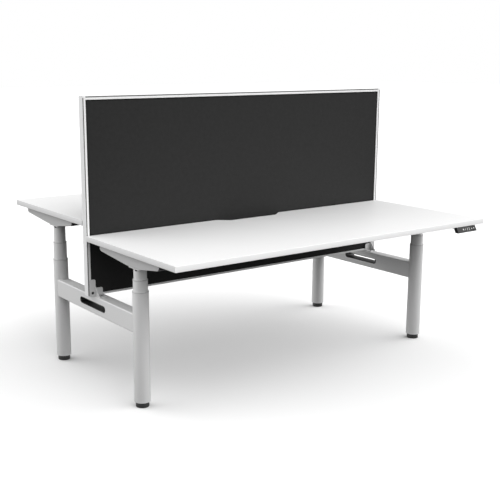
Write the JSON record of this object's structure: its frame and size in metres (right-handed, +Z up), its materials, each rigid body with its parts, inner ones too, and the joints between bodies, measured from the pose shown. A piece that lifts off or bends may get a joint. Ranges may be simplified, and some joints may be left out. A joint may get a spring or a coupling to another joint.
{
  "type": "benching desk for two",
  "caption": "Back-to-back sit-stand bench: desktops on telescopic columns either side of a fabric screen, with slotted end beams and a height handset.",
  "frame": {"origin": "on the floor, below the middle of the screen", "axes": "+X along the desks, to the front user's right; -Y towards the front user; +Z up"},
  "size_m": [1.8, 1.5278, 1.308],
  "materials": {
    "white_board": "white melamine-faced board, fine matt texture",
    "silver_paint": "silver powder coat",
    "bright_extrusion": "satin anodised",
    "charcoal_fabric": "woven charcoal fabric",
    "black_plastic": "black moulded plastic",
    "foot_plastic": "dark grey moulded plastic",
    "grey_plastic": "grey moulded plastic",
    "handset_plastic": "dark grey plastic",
    "motor_case": "black",
    "bare_steel": "bare steel"
  },
  "bodies": {
    "frame": {"front_left_outer_tube": "silver_paint", "front_left_outer_collar": "grey_plastic", "front_right_outer_tube": "silver_paint", "front_right_outer_collar": "grey_plastic", "rear_left_outer_tube": "silver_paint", "rear_left_outer_collar": "grey_plastic", "rear_right_outer_tube": "silver_paint", "rear_right_outer_collar": "grey_plastic", "left_beam": "silver_paint", "left_slot_liner": "black_plastic", "left_screen_saddle": "silver_paint", "left_screen_post": "bright_extrusion", "right_beam": "silver_paint", "right_slot_liner": "black_plastic", "right_screen_saddle": "silver_paint", "right_screen_post": "bright_extrusion", "top_screen_rail": "bright_extrusion", "bottom_screen_rail": "bright_extrusion", "screen_panel": "charcoal_fabric"},
    "front_desk": {"front_desktop": "white_board", "front_cross_rail": "silver_paint", "front_control_box": "black_plastic", "front_handset": "handset_plastic", "front_left_arm": "silver_paint", "front_left_inner_tube": "silver_paint", "front_left_motor": "motor_case", "front_right_arm": "silver_paint", "front_right_inner_tube": "silver_paint", "front_right_motor": "motor_case"},
    "front_middle_stage": {"front_left_middle_tube": "silver_paint", "front_left_middle_collar": "grey_plastic", "front_right_middle_tube": "silver_paint", "front_right_middle_collar": "grey_plastic"},
    "front_left_spindle_body": {"front_left_spindle": "bare_steel"},
    "front_left_foot_body": {"front_left_foot": "foot_plastic"},
    "front_right_spindle_body": {"front_right_spindle": "bare_steel"},
    "front_right_foot_body": {"front_right_foot": "foot_plastic"},
    "front_up_key": {"front_up_button": "handset_plastic"},
    "front_down_key": {"front_down_button": "handset_plastic"},
    "rear_desk": {"rear_desktop": "white_board", "rear_cross_rail": "silver_paint", "rear_control_box": "black_plastic", "rear_handset": "handset_plastic", "rear_left_arm": "silver_paint", "rear_left_inner_tube": "silver_paint", "rear_left_motor": "motor_case", "rear_right_arm": "silver_paint", "rear_right_inner_tube": "silver_paint", "rear_right_motor": "motor_case"},
    "rear_middle_stage": {"rear_left_middle_tube": "silver_paint", "rear_left_middle_collar": "grey_plastic", "rear_right_middle_tube": "silver_paint", "rear_right_middle_collar": "grey_plastic"},
    "rear_left_spindle_body": {"rear_left_spindle": "bare_steel"},
    "rear_left_foot_body": {"rear_left_foot": "foot_plastic"},
    "rear_right_spindle_body": {"rear_right_spindle": "bare_steel"},
    "rear_right_foot_body": {"rear_right_foot": "foot_plastic"},
    "rear_up_key": {"rear_up_button": "handset_plastic"},
    "rear_down_key": {"rear_down_button": "handset_plastic"}
  },
  "joints": [
    {"name": "front_lift", "type": "slide", "parent": "frame", "child": "front_desk", "axis": [0, 0, 1], "range_m": [-0.074, 0.576]},
    {"name": "front_middle_slide", "type": "slide", "parent": "frame", "child": "front_middle_stage", "axis": [0, 0, 1], "range_m": [-0.037, 0.288]},
    {"name": "front_left_spindle_turn", "type": "hinge", "parent": "front_desk", "child": "front_left_spindle_body", "pos_m": [-0.84, -0.382, 0.3], "axis": [0, 0, 1], "range_deg": [-1333, 10369]},
    {"name": "front_left_foot_turn", "type": "hinge", "parent": "frame", "child": "front_left_foot_body", "pos_m": [-0.84, -0.382, 0.01], "axis": [0, 0, 1], "continuous": true},
    {"name": "front_right_spindle_turn", "type": "hinge", "parent": "front_desk", "child": "front_right_spindle_body", "pos_m": [0.84, -0.382, 0.3], "axis": [0, 0, 1], "range_deg": [-1333, 10369]},
    {"name": "front_right_foot_turn", "type": "hinge", "parent": "frame", "child": "front_right_foot_body", "pos_m": [0.84, -0.382, 0.01], "axis": [0, 0, 1], "continuous": true},
    {"name": "front_up_press", "type": "slide", "parent": "front_desk", "child": "front_up_key", "axis": [0, 0.8746, -0.4848], "range_m": [0, 0.0008], "stiffness_N_per_m": 600, "springref_m": -0.0008},
    {"name": "front_down_press", "type": "slide", "parent": "front_desk", "child": "front_down_key", "axis": [0, 0.8746, -0.4848], "range_m": [0, 0.0008], "stiffness_N_per_m": 600, "springref_m": -0.0008},
    {"name": "rear_lift", "type": "slide", "parent": "frame", "child": "rear_desk", "axis": [0, 0, 1], "range_m": [-0.14, 0.51]},
    {"name": "rear_middle_slide", "type": "slide", "parent": "frame", "child": "rear_middle_stage", "axis": [0, 0, 1], "range_m": [-0.07, 0.255]},
    {"name": "rear_left_spindle_turn", "type": "hinge", "parent": "rear_desk", "child": "rear_left_spindle_body", "pos_m": [-0.84, 0.382, 0.3], "axis": [0, 0, 1], "range_deg": [-2521, 9181]},
    {"name": "rear_left_foot_turn", "type": "hinge", "parent": "frame", "child": "rear_left_foot_body", "pos_m": [-0.84, 0.382, 0.01], "axis": [0, 0, 1], "continuous": true},
    {"name": "rear_right_spindle_turn", "type": "hinge", "parent": "rear_desk", "child": "rear_right_spindle_body", "pos_m": [0.84, 0.382, 0.3], "axis": [0, 0, 1], "range_deg": [-2521, 9181]},
    {"name": "rear_right_foot_turn", "type": "hinge", "parent": "frame", "child": "rear_right_foot_body", "pos_m": [0.84, 0.382, 0.01], "axis": [0, 0, 1], "continuous": true},
    {"name": "rear_up_press", "type": "slide", "parent": "rear_desk", "child": "rear_up_key", "axis": [0, -0.8746, -0.4848], "range_m": [0, 0.0008], "stiffness_N_per_m": 600, "springref_m": -0.0008},
    {"name": "rear_down_press", "type": "slide", "parent": "rear_desk", "child": "rear_down_key", "axis": [0, -0.8746, -0.4848], "range_m": [0, 0.0008], "stiffness_N_per_m": 600, "springref_m": -0.0008}
  ],
  "couplings": [
    {"joint": "front_middle_slide", "follows": "front_lift", "ratio": 0.5},
    {"joint": "front_left_spindle_turn", "follows": "front_lift", "rad_per_m": 314.16},
    {"joint": "front_right_spindle_turn", "follows": "front_lift", "rad_per_m": 314.16},
    {"joint": "rear_middle_slide", "follows": "rear_lift", "ratio": 0.5},
    {"joint": "rear_left_spindle_turn", "follows": "rear_lift", "rad_per_m": 314.16},
    {"joint": "rear_right_spindle_turn", "follows": "rear_lift", "rad_per_m": 314.16}
  ]
}
